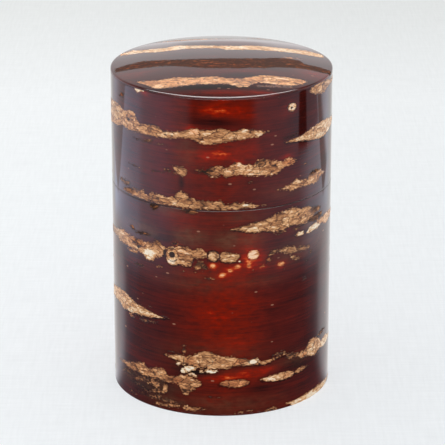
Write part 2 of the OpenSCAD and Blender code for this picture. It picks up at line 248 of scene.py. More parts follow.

# Round patches: (u, v, half width, half height, tone, hue, crumble, crack_and_painted_shadow)
WALL_SPOTS = [
    # the loose flakes running down to the lower left
    (-39.7, 9, 2.4, 0.5, 0.36, -0.3, 1, 0.4), (-34.1, 6.5, 2.2, 0.45, 0.4, 0.3, 1, 0.4),
    (-30.4, 9.6, 2, 0.5, 0.5, 0.2, 1, 0.5), (-29.8, 5.4, 1.9, 0.4, 0.38, 0.4, 1, 0.4),
    (-27.3, 8.5, 1.5, 0.5, 0.5, 0.3, 1, 0.4), (-23.6, 6.6, 1.6, 0.6, 0.55, 0.4, 1, 0.4),
    (-20.9, 9.2, 0.9, 0.6, 0.45, 0.6, 1, 0.4), (-25.4, 3.7, 2.2, 0.5, 0.42, 0.3, 1, 0.4),
    (-37.4, 2.2, 1.2, 0.4, 0.4, 0.1, 1, 0.3), (-18.6, 3.6, 2, 0.4, 0.45, 0.5, 1, 0.4),
    (-43.5, 8.4, 1.8, 0.5, 0.4, -0.3, 1, 0.3), (-32.6, 3.6, 1.6, 0.4, 0.3, 0.3, 1, 0.3),
    (-32.7, 110.4, 0.4, 0.35, 0.6, -0.5, 0.2, 0), (25.9, 111.2, 1.9, 1.45, 0.85, 0.25, 0.15, 0.5),
    (14.7, 116, 0.35, 0.3, 0.6, 0, 0.1, 0), (20.5, 115.4, 0.3, 0.3, 0.6, 0, 0.1, 0),
    (32.8, 89.3, 1.1, 0.4, 0.5, 0.4, 0.2, 0), (9.8, 86.6, 0.8, 0.4, 0.4, 0.4, 0.3, 0),
    (30.3, 64.3, 2, 0.9, 0.85, 0, 0.25, 0.4), (16.9, 57.5, 1.1, 0.8, 0.45, 0.6, 0.4, 0),
    (36.3, 56, 1.2, 0.6, 0.4, 0.3, 0.3, 0), (-2.7, 60, 2.2, 1.9, 0.62, 0.05, 0.2, 0.9),
    (-16, 63.4, 1.6, 0.8, 0.4, 0.9, 0.4, 0), (11.2, 60, 2.1, 1.8, 0.86, 0.7, 0.2, 0.2),
    (21.8, 55, 1.6, 0.9, 0.75, 1.2, 0.2, 0), (6.3, 58.1, 0.6, 0.5, 0.9, 0, 0.2, 0),
    (-7, 16.9, 1, 0.6, 0.95, 0, 0.2, 0), (-3, 56.6, 0.9, 0.7, 0.95, 1.3, 0.1, 0),
    (0.3, 53.2, 0.9, 0.6, 1, 1.2, 0.1, 0), (3, 54.6, 0.8, 0.5, 0.85, 1.4, 0.1, 0),
    (5.6, 56.2, 1.1, 0.6, 0.8, 1.5, 0.1, 0), (9.5, 56.2, 0.6, 0.8, 0.8, 1.5, 0.2, 0),
    (14.5, 55.3, 0.9, 0.5, 0.75, 1.4, 0.2, 0), (-13.4, 53.7, 0.4, 0.3, 0.6, 0, 0.1, 0),
    (-9.3, 53.7, 0.35, 0.3, 0.6, 0, 0.1, 0), (23, 52.9, 0.4, 0.3, 0.5, 0, 0.1, 0),
    (32.8, 46.8, 1.2, 0.35, 0.35, -0.5, 0.4, 0), (32.5, 48, 0.8, 0.25, 0.35, -0.5, 0.4, 0),
    (34, 53.4, 0.9, 0.35, 0.35, -0.5, 0.4, 0), (-27.3, 37.8, 0.8, 0.35, 0.35, 0.2, 0.4, 0),
    (-17.3, 22.9, 1.3, 0.3, 0.35, 0.1, 0.4, 0), (-13.3, 26, 0.6, 0.4, 0.3, 0.3, 0.4, 0),
    (42.3, 15.3, 0.9, 0.4, 0.35, 0, 0.4, 0), (-3.9, 7.2, 0.5, 0.3, 0.35, 0, 0.2, 0),
    (-1, 7.3, 0.5, 0.3, 0.35, 0, 0.2, 0), (-35.3, 2, 0.7, 0.4, 0.4, 0.1, 0.2, 0),
    (11, 54.3, 0.35, 0.3, 0.6, 0.2, 0.1, 0), (11, 50.5, 0.9, 0.25, 0.35, 0, 0.3, 0),
]

# Lighter, darker or redder areas within the cork: (u, v, half width, half height, tone, hue)
WALL_TOUCHES = [
    (-9.5, 104.7, 1.8, 1.2, 0.3, 0.8), (8, 105.2, 1.2, 0.5, 0.3, 0),
    (13.3, 103.5, 1.6, 0.6, 0.25, 0), (-27, 106, 12, 2.5, -0.1, 0), (-50, 104, 8, 3, 0.05, -0.3),
    (-4, 102, 3, 1.5, -0.05, 0), (2, 91, 1.6, 1, 0.2, 0.2), (6, 93.3, 1.5, 0.7, 0.3, 0.3),
    (-6, 90.8, 4, 2, -0.3, 0), (25, 91.8, 3, 1.4, -0.05, 0.6), (8, 90.8, 3.5, 1.3, 0.15, 0.1),
    (13.5, 93.4, 2.5, 0.9, -0.25, -0.2), (38, 85.2, 5, 1, -0.35, -0.4),
    (40, 80.9, 3.5, 0.4, 0.2, 0), (-16.5, 78, 1, 0.7, 0.4, 0), (8.7, 78.4, 2, 0.4, 0.4, -0.3),
    (-5, 81.3, 1.2, 0.4, 0.3, 0), (-38, 78.5, 5, 1.5, -0.2, 0), (40, 71, 5, 1.8, -0.25, -0.7),
    (20, 73.6, 3, 0.8, -0.12, 0), (10, 69.5, 4, 1, 0.05, 0), (-27.5, 57.6, 2.4, 1.9, 0.5, -0.1),
    (-18.3, 56.5, 1.8, 0.9, 0.4, 0.1), (-48, 59.7, 5, 1.5, 0.1, -0.3),
    (-33, 60.5, 4, 1.5, -0.2, 0.3), (-23.5, 62.6, 2, 1.2, -0.2, -0.1),
    (-14, 61, 3, 1.6, 0.02, 0.2), (-37.5, 33, 2.5, 0.6, 0.3, 0), (-46, 37.5, 7, 1.6, -0.12, 0),
    (-27, 35.2, 4, 0.7, 0.15, 0), (11.5, 20.2, 1.9, 1, 0.4, -0.1), (-11, 20.5, 2, 1.8, -0.08, 0.4),
    (6.5, 20.6, 2.6, 1.4, -0.05, 0.5), (-5, 21.5, 4, 2.5, -0.04, -0.05),
    (38.5, 19, 3, 2.2, 0.12, -0.1), (33, 18, 2, 1.2, -0.05, 0.4), (48, 18, 4, 1.4, 0, 0.1),
    (-23, 13, 2.6, 1.8, 0.06, 0), (-17, 12.3, 3, 1, -0.05, 0.5), (-12.5, 10, 2, 2.6, -0.05, 0),
    (25, 12.4, 2, 1, -0.03, 0.35), (18, 12.8, 2.4, 0.8, 0.2, 0), (34, 1.2, 7, 1, 0.08, 0),
    (5, 12.2, 3.5, 1.2, 0, 0.2),
]

# Dark pits: (u, v, half width, half height), and for a dark ring its width as well
WALL_PITS = [
    (-37.5, 104.2, 0.9, 0.55), (-20, 102.4, 0.5, 0.35), (-17.5, 102.3, 0.45, 0.35),
    (25.7, 111, 0.55, 0.45), (-17.7, 59.2, 1.15, 1.15), (-32.7, 58.8, 0.65, 0.55),
    (-20.7, 59.4, 0.55, 1.5), (-13.6, 20.2, 0.25, 1.6), (28, 12.6, 0.2, 0.8),
    (-1.9, 60.6, 0.5, 0.25), (-21, 35.7, 1.2, 0.18), (-25.3, 12.4, 0.5, 0.3),
    (6.6, 57.6, 0.4, 0.3), (-13.8, 93, 0.2, 0.2), (-17.7, 59.2, 2.3, 2.4, 0.35),
    (-2.7, 60, 2.2, 1.9, 0.3), (25.9, 111.2, 1.9, 1.45, 0.25), (13.8, 92.8, 1.6, 1, 0.28),
    (12.5, 90.8, 1.9, 1.3, 0.25), (2.5, 90.8, 1.8, 1.1, 0.22), (-11.5, 58.4, 1.9, 1.6, 0.22),
    (36.5, 19.6, 2.2, 1.5, 0.25), (33.2, 18, 1.6, 1.1, 0.25), (11.4, 20.1, 1.7, 1, 0.25),
    (7.6, 20.5, 1.5, 1.1, 0.22), (40.5, 19, 1.8, 1.8, 0.22), (-33, 60, 1.7, 1.3, 0.22),
    (-37.5, 34, 1.2, 0.8, 0.2), (-22.5, 13.4, 1.6, 1.2, 0.22), (29, 71.4, 2, 1.4, 0.2),
    (21, 70.6, 1.6, 1.2, 0.2), (43.5, 98.6, 1.8, 1.4, 0.2), (-5, 20.5, 2, 1.4, 0.2),
    (-44, 104, 2.2, 1.5, 0.2), (3.2, 103.6, 1.6, 1.1, 0.2),
]

# Painted glow: red light painted into the bark where it would come back out of it, strongest in the
# lit middle of the front; the red itself is the bark's own: (u, v, half width, half height,
# strength)
WALL_PAINTED_GLOWS = [
    (-3, 98, 22, 26, 0.32), (1, 38, 17, 26, 0.36), (0, 8, 24, 10, 0.18), (-3, 112.5, 5, 2.5, 0.4),
    (0, 116.2, 2.5, 1, 0.45), (4, 112, 6, 2.5, 0.3), (8, 110.5, 4, 2, 0.25),
    (-4, 96.5, 5, 2, 0.35), (1, 97, 3, 2, 0.3), (9, 98, 4, 3, 0.25), (-10.5, 105.6, 2, 1.2, 0.55),
    (5.5, 94, 2, 1, 0.45), (24.5, 94, 2.5, 1, 0.45), (26, 111.3, 3.2, 2.4, 0.4),
    (-28.7, 116, 2, 1.6, 0.5), (0, 45, 13, 14, 0.1), (-5, 36, 4, 5, 0.08), (12, 35.5, 3, 3, 0.08),
    (6, 26, 8, 5, 0.14), (9, 66, 4, 3, 0.2), (11, 60, 4, 3.2, 0.7), (-15, 72, 6, 4, 0.14),
    (-11, 66, 4, 3, 0.16), (-3, 56.6, 1.3, 1.1, 1), (0.3, 53.2, 1.2, 1, 1),
    (3, 54.6, 1.1, 0.9, 0.8), (5.6, 56.2, 1.2, 0.9, 0.7), (9.5, 56.4, 1.2, 1.5, 0.6),
    (14.5, 55.3, 1.6, 1, 0.45), (21.8, 55, 2, 1.3, 0.75), (6, 55.8, 10, 3, 0.24),
    (-16, 63.6, 1.8, 1, 0.6), (-4, 14.6, 5.5, 1.5, 0.4), (2, 14.8, 5, 1.6, 0.3),
    (9, 15.6, 5.5, 1.5, 0.44), (17, 16.4, 4.5, 1.3, 0.42), (-17, 11.5, 3, 0.8, 0.4),
    (-12, 52.8, 6, 1, 0.2), (-22, 49, 5, 2, 0.06),
]

# Brown haze in the ground: (u, v, half width, half height, strength)
WALL_HAZES = [
    (-11, 66.5, 6, 3, 0.75), (2, 66, 4.5, 3, 0.75), (-31, 66, 9, 2.5, 0.6), (10, 66, 5, 3.5, 0.5),
    (-20, 75.5, 7, 2, 0.5), (30, 59, 11, 4, 0.45), (41, 60, 8, 5, 0.45), (-12, 98, 4, 6, 0.3),
    (-28, 9, 12, 3.5, 0.55), (-20, 4, 10, 2.5, 0.5), (0, 4, 22, 3.5, 0.35), (36, 67, 7, 2, 0.6),
    (-10, 50, 14, 4, 0.25), (12, 50, 10, 2, 0.25), (-4, 22, 20, 6, 0.25), (-40, 82, 6, 3, 0.4),
    (-40, 8, 5, 3, 0.5), (8, 74, 8, 2, 0.3), (26, 82, 10, 3, 0.3), (-34, 100, 9, 2, 0.4),
    (30, 18, 12, 3, 0.3),
]

# Darker ground: (u, v, half width, half height, strength)
WALL_SHADES = [
    (-1, 108.3, 9, 1.8, 0.48), (-14, 86.5, 1, 3, 0.35), (30, 108, 5, 9, 0.15),
    (-10, 99, 6, 2, 0.15), (-8, 16.6, 8, 2.4, 0.5), (-24, 8, 14, 4, 0.3), (16, 10, 10, 2, 0.2),
    (30, 15.4, 8, 1.8, 0.25), (-20, 64.4, 12, 1.6, 0.25),
]

# Crown, seen in plan: front is -v
CROWN_PATCHES = [
    ((0.7, 0, 0.9, 0), -36, 11, 14, -32, 10.5, 17, -28, 10.5, 15, -24, 8.5, 14.5, -20, 8.5, 14,
     -16, 9, 16.5, -12, 9.5, 15, -6, 9.5, 14, -1, 9, 13, 2, 6.5, 13, 6, 7, 13, 9, 7.5, 14.5,
     14, 8, 15, 20, 8.5, 14.5, 26, 8.5, 15, 30, 8, 15.5, 36, 8, 13),
    ((0.1, 0.35, 1.2, 0.9), -37, -9.5, -5, -33, -9.5, -3, -28, -9.5, -1.5, -20, -10, -3,
     -15, -11.5, -4, -10, -13.5, -4.5, -5, -15, -4.5, 0, -15, -4.5, 6, -15, -4, 10, -14, -3.5,
     15, -13.5, -2.5, 18, -12, -1, 22, -11, 0, 27, -10, -0.5, 29, -10, -4, 35, -11, -5.5,
     38, -11, -7),
    ((0.45, 0.2, 0.8, 0), 21, 0.3, 0.8, 24, 0.2, 2, 28, 0.6, 1.2),
    ((0.56, 0.15, 0.8, 0.5), -29, -23, -21.5, -26, -25.5, -22, -22, -30, -23, -19, -30, -22.5,
     -15, -29.5, -21.8, -10, -29, -23, -6, -28.7, -22.5, -2, -28.7, -22.5, 2, -28.7, -24,
     6, -31, -24, 9, -30.5, -22.8, 10, -29, -22.5, 13, -26.5, -20.5, 16, -27, -19.8,
     20, -27.5, -20, 24, -27, -20.2, 27, -25, -20.5, 29, -22.5, -21),
    ((0.3, 0, 0.9, 0), 12, -30, -29, 18, -29.5, -28, 24, -28.5, -27.5),
    ((0.5, 0, 0.8, 0), -24, 27, 27.6, -16, 26, 28.4, -6, 26.2, 28, 4, 26.8, 27.6),
    ((0.4, 0.1, 0.9, 0), 8, 31, 31.5, 13, 30.4, 32, 18, 30.8, 31.2),
]
CROWN_SPOTS = [
    (16.5, -23.6, 2, 1.6, 0.6, 0.4, 0.3, 0.6), (8, -28, 2, 1.4, 0.6, 0.4, 0.3, 0.6),
]
CROWN_TOUCHES = [
    (-15, 12.5, 3, 2.5, 0.15, 0), (4, 11, 5, 1.4, 0.1, 0), (22, 12, 5, 2, 0.12, 0),
    (-20, -27.5, 4, 1.6, 0.12, 0.1), (0, -7, 16, 3, 0, 0.1), (18, -5.5, 2.5, 3, -0.1, 0),
    (0, -12, 14, 3, 0.06, 0.4), (-28, -6, 8, 3, -0.02, 0.5), (22, -21.5, 4, 1.2, 0.1, 0.1),
]
CROWN_PITS = [
    (16.5, -23.6, 2.4, 1.9, 0.3), (8, -28, 2.2, 1.5, 0.25), (-13, 12.5, 2, 2, 0.25),
]
# Painted glow on the crown: red light painted into the bark's colour
CROWN_PAINTED_GLOWS = [
    (0, -35, 12, 2.2, 0.45), (14, -34, 5, 1.6, 0.4), (32, -14, 7, 5, 0.38), (-30, -15, 8, 5, 0.12),
    (2, -17, 20, 3, 0.25), (-30, -14, 8, 5, 0.15), (4, 20, 12, 4, 0.2),
]
CROWN_SHADES = [
    (-6, -31, 14, 1.6, 0.4), (8, -21, 6, 1.2, 0.3),
]


def random_patches(rng, count, u_span, v_span, clear=()):
    """Cork patches in the style of the listed ones, in rows that keep apart.
    Clear holds (lowest u, highest u, lowest v, highest v) of places to leave alone."""
    row_gap = 1.5
    made, taken = [], list(clear)
    for _ in range(count):
        half = rng.choice((rng.uniform(3, 7), rng.uniform(9, 20), rng.uniform(12, 26)))
        u, v = rng.uniform(*u_span), rng.uniform(*v_span)
        tall = rng.uniform(0.05, 0.11) * half + 0.6
        left, right, low, high = u - half, u + half, v - tall, v + tall
        if any(left < t[1] and t[0] < right and low < t[3] + row_gap and t[2] < high + row_gap
               for t in taken):
            continue
        taken.append((left, right, low, high))
        lean, knots = rng.uniform(-0.03, 0.03), max(int(half / 1.1), 4)
        stations = []
        for k in range(knots + 1):
            t = 2 * k / knots - 1
            body = max(1 - abs(t) ** rng.uniform(1.3, 2.6), 0.02) * tall
            mid = v + lean * t * half + rng.uniform(-0.15, 0.15) * tall
            stations += [u + t * half, mid - body * rng.uniform(0.6, 1.05),
                         mid + body * rng.uniform(0.6, 1.05)]
        style = (rng.uniform(0.35, 0.7), rng.uniform(-0.2, 0.35), rng.uniform(0.4, 1.0),
                 rng.uniform(0, 0.9))
        made.append((style, *stations))
    return made


def patch_depth(u, v, at, low, high):
    """Distance in mm inside a patch's outline, negative outside it."""
    beyond = np.maximum(at[0] - u, u - at[-1])
    inside = np.minimum(v - np.interp(u, at, low), np.interp(u, at, high) - v)
    return np.where(beyond > 0, -np.hypot(beyond, np.minimum(inside, 0)),
                    np.minimum(inside, -beyond + 0.3))


def oval_distance(u, v, spot):
    return np.hypot((u - spot[0]) / spot[2], (v - spot[1]) / spot[3])


def oval_depth(u, v, spot):
    return (1 - oval_distance(u, v, spot)) * min(spot[2], spot[3])


def bump_at(u, v, spot):
    """A soft round bump of the spot's strength."""
    return spot[4] * np.exp(-oval_distance(u, v, spot) ** 2)


def figure(u, v, patches, spots=(), touches=(), pits=(), painted_glows=(), shades=(), hazes=()):
    """The bark's figure at points of the sheet: (cork, pit, line), (tone, hue, glow), haze. Glow is
    painted red light, which shades take away again. Cork and pit are depths in mm inside an
    outline.
    Line is the dark line round a patch, part crack and part painted shadow under it, from 0 to
    0.95, plus 10 times the crumble. A pit with a fifth number is a ring that wide."""
    cork, pit = np.full(len(u), -REACH), np.full(len(u), -2.0)
    line, hue, glow, haze = np.zeros((4, len(u)))
    tone = np.full(len(u), 0.4)

    def lay(depth, near, new_tone, new_hue, crumble, crack_and_painted_shadow):
        win = depth > cork[near]
        at = near[win]
        cork[at] = depth[win]
        tone[at], hue[at] = new_tone, new_hue
        line[at] = np.minimum(crack_and_painted_shadow[win], 0.95) + 10 * round(crumble, 1)

    for (new_tone, new_hue, crumble, crack_and_painted_shadow), *stations in patches:
        at, low, high = np.reshape(stations, (-1, 3)).T
        near = np.nonzero((u > at[0] - REACH) & (u < at[-1] + REACH)
                          & (v > low.min() - REACH) & (v < high.max() + REACH))[0]
        mid = np.interp(u[near], at, (low + high) / 2)
        painted_shadow_below = np.clip((mid - v[near]) / 0.8 + 0.5, 0.25, 1)   # painted shadow: the dark line is strongest under a patch
        lay(patch_depth(u[near], v[near], at, low, high), near, new_tone, new_hue, crumble,
            crack_and_painted_shadow * painted_shadow_below)
    for spot in spots:
        near = np.nonzero((abs(u - spot[0]) < spot[2] + REACH)
                          & (abs(v - spot[1]) < spot[3] + REACH))[0]
        lay(oval_depth(u[near], v[near], spot), near, *spot[4:7], np.full(len(near), spot[7]))
    for touch in touches:
        weight = np.exp(-oval_distance(u, v, touch) ** 4)
        tone += weight * touch[4]
        hue += weight * touch[5]
    for spot in pits:
        inside = oval_depth(u, v, spot)
        pit = np.maximum(pit, spot[4] / 2 - abs(inside) if len(spot) > 4 else inside)
    # painted glow, and the darker ground of the shades
    for spot in painted_glows:
        glow += bump_at(u, v, spot)
    for spot in shades:
        glow -= bump_at(u, v, spot)
    for spot in hazes:
        haze = np.maximum(haze, bump_at(u, v, spot))
    return np.stack([cork, pit, line], 1), np.stack([tone, hue, glow], 1), haze


def wall_figure(u, v):
    """Figure of the wall: listed in front, random at the back, with the lap there."""
    rng = random.Random(41)
    placed = [(-52, 52, -5, 125), (-78, -50, 96, 109), (50, 70, 96, 116), (50, 66, 62, 68),
              (-70, -50, 55, 63), (-72, -50, 30, 39), (50, 64, 15, 20), (50, 70, -2, 3)]
    patches = WALL_PATCHES + random_patches(rng, 220, (-122, 122), (2, 114), placed)
    # random painted glow and brown haze round the back
    painted_glows = WALL_PAINTED_GLOWS + [(rng.choice((-1, 1)) * rng.uniform(58, 120), rng.uniform(5, 112),
                           rng.uniform(5, 14), rng.uniform(2, 9), rng.uniform(0.1, 0.4))
                          for _ in range(26)]
    hazes = WALL_HAZES + [(rng.choice((-1, 1)) * rng.uniform(60, 118), rng.uniform(5, 112),
                           rng.uniform(6, 14), rng.uniform(2, 5), rng.uniform(0.2, 0.6))
                          for _ in range(18)]
    edge, tint_and_painted_glow, haze = figure(u, v, patches, WALL_SPOTS, WALL_TOUCHES, WALL_PITS, painted_glows,
                              WALL_SHADES, hazes)
    # dark lines where bark meets bark, given by their half widths
    lap = 0.13 - (TURN / 2 - np.abs(u))
    joint = 0.15 - np.abs(v - JOINT_Z)
    edge[:, 1] = np.maximum(edge[:, 1], np.maximum(lap, joint))
    return edge, tint_and_painted_glow, haze


def crown_figure(u, v):
    return figure(u, v, CROWN_PATCHES, CROWN_SPOTS, CROWN_TOUCHES, CROWN_PITS, CROWN_PAINTED_GLOWS,
                  CROWN_SHADES)


def small_figure(seed, count, u_span, v_span):
    """Figure of a lesser sheet, all of it random."""
    def make(u, v):
        rng = random.Random(seed)
        # random cork, with random painted glow in the ground
        return figure(u, v, random_patches(rng, count, u_span, v_span),
                      painted_glows=[(rng.uniform(*u_span), rng.uniform(*v_span), rng.uniform(6, 16),
                              rng.uniform(2, 6), rng.uniform(0.1, 0.3)) for _ in range(8)])
    return make


# ------------------------ turned pieces

def toward(start, goal, length):
    """The point that far from start on the way to goal."""
    return start + (goal - start) / np.linalg.norm(goal - start) * length


def soften(corners, steps=5):
    """Profile points for corners (r, z, fillet, spacing of the points up to the next corner).
    Fillet and spacing are 0 where they are left out."""
    corners = [(*corner, 0, 0)[:4] for corner in corners]
    points, count = [], len(corners)
    places = [np.array(corner[:2], float) for corner in corners]
    for k, (_, _, fillet, spacing) in enumerate(corners):
        here, before, after = places[k], places[k - 1], places[(k + 1) % count]
        if fillet:
            start, end = toward(here, before, fillet), toward(here, after, fillet)
            for t in np.linspace(0, 1, steps):
                points.append((1 - t) ** 2 * start + 2 * t * (1 - t) * here + t * t * end)
            here = end
        else:
            points.append(here)
        if spacing:
            goal = toward(after, here, corners[(k + 1) % count][2])
            pieces = max(int(np.linalg.norm(goal - here) / spacing), 1)
            points += [here + (goal - here) * j / pieces for j in range(1, pieces)]
    return points


def turned(name, node, profile, columns, material, closed=True, flat_r=0, make=None,
           make_flat=None):
    """A solid of revolution that stands for a CAD node and carries the bark's figure. Faces
    that reach inside the radius flat_r take it from a flat sheet, and the rest from the wall."""
    verts, rings = [], []
    angles = [2 * math.pi * k / columns for k in range(columns)]
    for r, z in profile:
        if r < 1e-6:                  # on the axis the ring is one point
            rings.append([len(verts)] * columns)
            verts.append((0.0, 0.0, z * MM))
            continue
        rings.append(list(range(len(verts), len(verts) + columns)))
        verts += [(r * MM * math.sin(a), -r * MM * math.cos(a), z * MM) for a in angles]
    faces, count = [], len(rings)
    for k in range(count if closed else count - 1):
        low, high = rings[k], rings[(k + 1) % count]
        for left in range(columns):
            right = (left + 1) % columns
            face = (low[left], low[right], high[right], high[left])
            faces.append(list(dict.fromkeys(face)))    # a triangle where it meets the axis
    mesh = bpy.data.meshes.new(name)
    mesh.from_pydata(verts, [], faces)
    area = sum(p[0] * q[1] - q[0] * p[1] for p, q in zip(profile, profile[1:] + profile[:1]))
    if area < 0:
        mesh.flip_normals()
    mesh.shade_smooth()
    mesh.set_sharp_from_angle(angle=math.radians(35))
    mesh.validate()

    # u, v and haze at every face corner, with no face torn across the lap
    corner = np.empty(len(mesh.loops), int)
    mesh.loops.foreach_get("vertex_index", corner)
    first, size = np.empty((2, len(mesh.polygons)), int)
    mesh.polygons.foreach_get("loop_start", first)
    mesh.polygons.foreach_get("loop_total", size)
    x, y, z = (np.array(verts)[corner] / MM).T
    is_flat = np.repeat(np.minimum.reduceat(np.hypot(x, y), first) < flat_r, size)
    u = np.arctan2(x, -y) * OUTER_R
    wide = np.maximum.reduceat(u, first) - np.minimum.reduceat(u, first) > TURN / 2
    u = np.where(np.repeat(wide, size) & (u < 0), u + TURN, u)
    u, v = np.where(is_flat, x, u), np.where(is_flat, y, z)
    layers = {"sheet": np.stack([u, v, np.zeros(len(u))], 1)}
    if make or make_flat:
        layers["edge"], layers["tint_and_painted_glow"] = np.zeros((2, len(u), 3))
        for maker, these in ((make, ~is_flat), (make_flat, is_flat)):
            if these.any():
                (layers["edge"][these], layers["tint_and_painted_glow"][these],
                 layers["sheet"][these, 2]) = maker(u[these], v[these])
    for layer, values in layers.items():
        mesh.attributes.new(layer, "FLOAT_VECTOR", "CORNER").data.foreach_set(
            "vector", values.astype(np.float32).ravel())

    piece = bpy.data.objects.new(name, mesh)
    bpy.context.scene.collection.objects.link(piece)
    mesh.materials.append(material)
    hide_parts(node)
    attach(piece, frame["nodes"][node]["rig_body"])


def crown_height(r, inset=0.0):
    """Height of the crown's top at a radius, or of the same curve inset from it."""
    return TOP_Z - BALL_R + math.sqrt((BALL_R - inset) ** 2 - r * r)


def tube_skin(node, thick, low_fillet, high_fillet, row, columns, material, make):
    """Bark round the outside of a tube, with its outer edges softened."""
    r, low, high = ring_mm(node)
    profile = soften([(r - thick, low), (r, low, low_fillet, row), (r, high, high_fillet),
                      (r - thick, high)])
    turned(node + "_skin", node, profile, columns, material, make=make)


def tube_lining(node, low_fillet, high_fillet):
    """Bark lining inside a tube, with its inner edges softened."""
    r, low, high = ring_mm(node)
    profile = soften([(r - LINING_T, low, low_fillet), (r, low), (r, high),
                      (r - LINING_T, high, high_fillet, 3.0)])
    turned(node + "_skin", node, profile, 240, LINING)


def dress(material, *nodes):
    """Gives CAD nodes that stay in view a material of their own."""
    for node in nodes:
        for slot in frame["nodes"][node].material_slots:
            slot.material = material


# ------------------------ materials

class Wire:
    """A node's output. Arithmetic on it adds Math nodes."""

    def __init__(self, graph, socket):
        self.graph, self.socket = graph, socket

    def __add__(self, other):
        return self.graph.math("ADD", self, other)

    def __sub__(self, other):
        return self.graph.math("SUBTRACT", self, other)

    def __mul__(self, other):
        return self.graph.math("MULTIPLY", self, other)

    def __truediv__(self, other):
        return self.graph.math("DIVIDE", self, other)


class Graph:
    """Short calls that build the nodes of one material or world."""

    def __init__(self, owner):
        self.owner = owner
        owner.use_nodes = True
        self.tree = owner.node_tree
        self.tree.nodes.clear()

    def node(self, kind, inputs, settings):
        made = self.tree.nodes.new(kind)
        for key, value in settings.items():
            setattr(made, key, value)
        for key, value in inputs.items():
            self.put(made.inputs[key], value)
        return made

    def put(self, socket, value):
        if isinstance(value, Wire):
            self.tree.links.new(value.socket, socket)
        else:
            socket.default_value = value

    def out(self, kind, inputs=None, output=0, **settings):
        return Wire(self, self.node(kind, inputs or {}, settings).outputs[output])

    def math(self, operation, a, b=0.0, clamp=False):
        return self.out("ShaderNodeMath", {0: a, 1: b}, operation=operation, use_clamp=clamp)

    def radius(self, x, y):
        return self.math("SQRT", x * x + y * y)

    def step(self, value, start, end, low=0.0, high=1.0):
        return self.out("ShaderNodeMapRange", {
            "Value": value, "From Min": start, "From Max": end, "To Min": low,
            "To Max": high}, interpolation_type="SMOOTHSTEP")

    def scaled(self, vector, scale, shift=(0, 0, 0)):
        return self.out("ShaderNodeVectorMath", {0: vector, 1: scale, 2: shift},
                        operation="MULTIPLY_ADD")

    def dimmed(self, colour, by):
        return self.out("ShaderNodeVectorMath", {0: colour, "Scale": by}, operation="SCALE")

    def place(self, scale=1.0):
        """Object coordinates, in metres or, with a scale of 1000, in millimetres."""
        return self.scaled(self.out("ShaderNodeTexCoord", output="Object"), (scale,) * 3)

    def noise(self, vector, scale, detail=2.0, rough=0.5, shift=(0, 0, 0)):
        """Noise of mean 0 and about -0.5 to 0.5."""
        return self.out("ShaderNodeTexNoise", {
            "Vector": self.scaled(vector, (*scale, 0), shift), "Scale": 1.0,
            "Detail": detail, "Roughness": rough}) - 0.5

    def cells(self, vector, scale, feature="F1", output="Distance", shift=(0, 0, 0)):
        return self.out("ShaderNodeTexVoronoi", {
            "Vector": self.scaled(vector, (*scale, 0), shift), "Scale": 1.0}, output,
            feature=feature)

    def ramp(self, value, stops):
        made = self.node("ShaderNodeValToRGB", {0: value}, {})
        elements = made.color_ramp.elements
        while len(elements) < len(stops):
            elements.new(0.5)
        for element, (position, colour) in zip(elements, stops):
            element.position = position
            element.color = (*colour, 1)
        return Wire(self, made.outputs[0])

    def mix(self, factor, a, b, blend="MIX"):
        a, b = (value if isinstance(value, Wire) else (*value, 1) for value in (a, b))
        return self.out("ShaderNodeMix", {0: factor, 6: a, 7: b}, 2, data_type="RGBA",
                        blend_type=blend, clamp_factor=True)

    def split(self, vector):
        made = self.node("ShaderNodeSeparateXYZ", {0: vector}, {})
        return [Wire(self, socket) for socket in made.outputs]

    def attribute(self, name):
        return self.out("ShaderNodeAttribute", output="Vector", attribute_name=name)

    def surface(self, shader):
        self.node("ShaderNodeOutputMaterial", {"Surface": shader}, {})
        return self.owner

    def principled(self, colour, roughness, height, depth_mm, strength, **more):
        bump = self.out("ShaderNodeBump", {"Height": height, "Distance": depth_mm * MM,
                                           "Strength": strength})
        inputs = {"Base Color": colour, "Roughness": roughness, "Normal": bump}
        inputs.update({key.replace("_", " "): value for key, value in more.items()})
        return self.surface(self.out("ShaderNodeBsdfPrincipled", inputs))


def new_graph(name):
    return Graph(bpy.data.materials.new(name))


# Cork from its dark cells to its palest growths, and the bark's own skin from black to ember; its
# brighter reds are reached through the painted glow
CORK_COLOURS = [(0.0, (0.022, 0.008, 0.004)), (0.18, (0.085, 0.030, 0.012)),
                (0.36, (0.26, 0.100, 0.036)), (0.54, (0.50, 0.230, 0.085)),
                (0.72, (0.74, 0.41, 0.18)), (0.88, (0.91, 0.69, 0.42)),
                (1.0, (0.97, 0.89, 0.72))]
GROUND_COLOURS = [(0.0, (0.006, 0.003, 0.003)), (0.2, (0.040, 0.004, 0.003)),
                  (0.4, (0.105, 0.008, 0.004)), (0.6, (0.20, 0.009, 0.002)),
                  (0.75, (0.31, 0.009, 0.001)), (0.88, (0.56, 0.055, 0.008)),
                  (1.0, (0.90, 0.24, 0.07))]


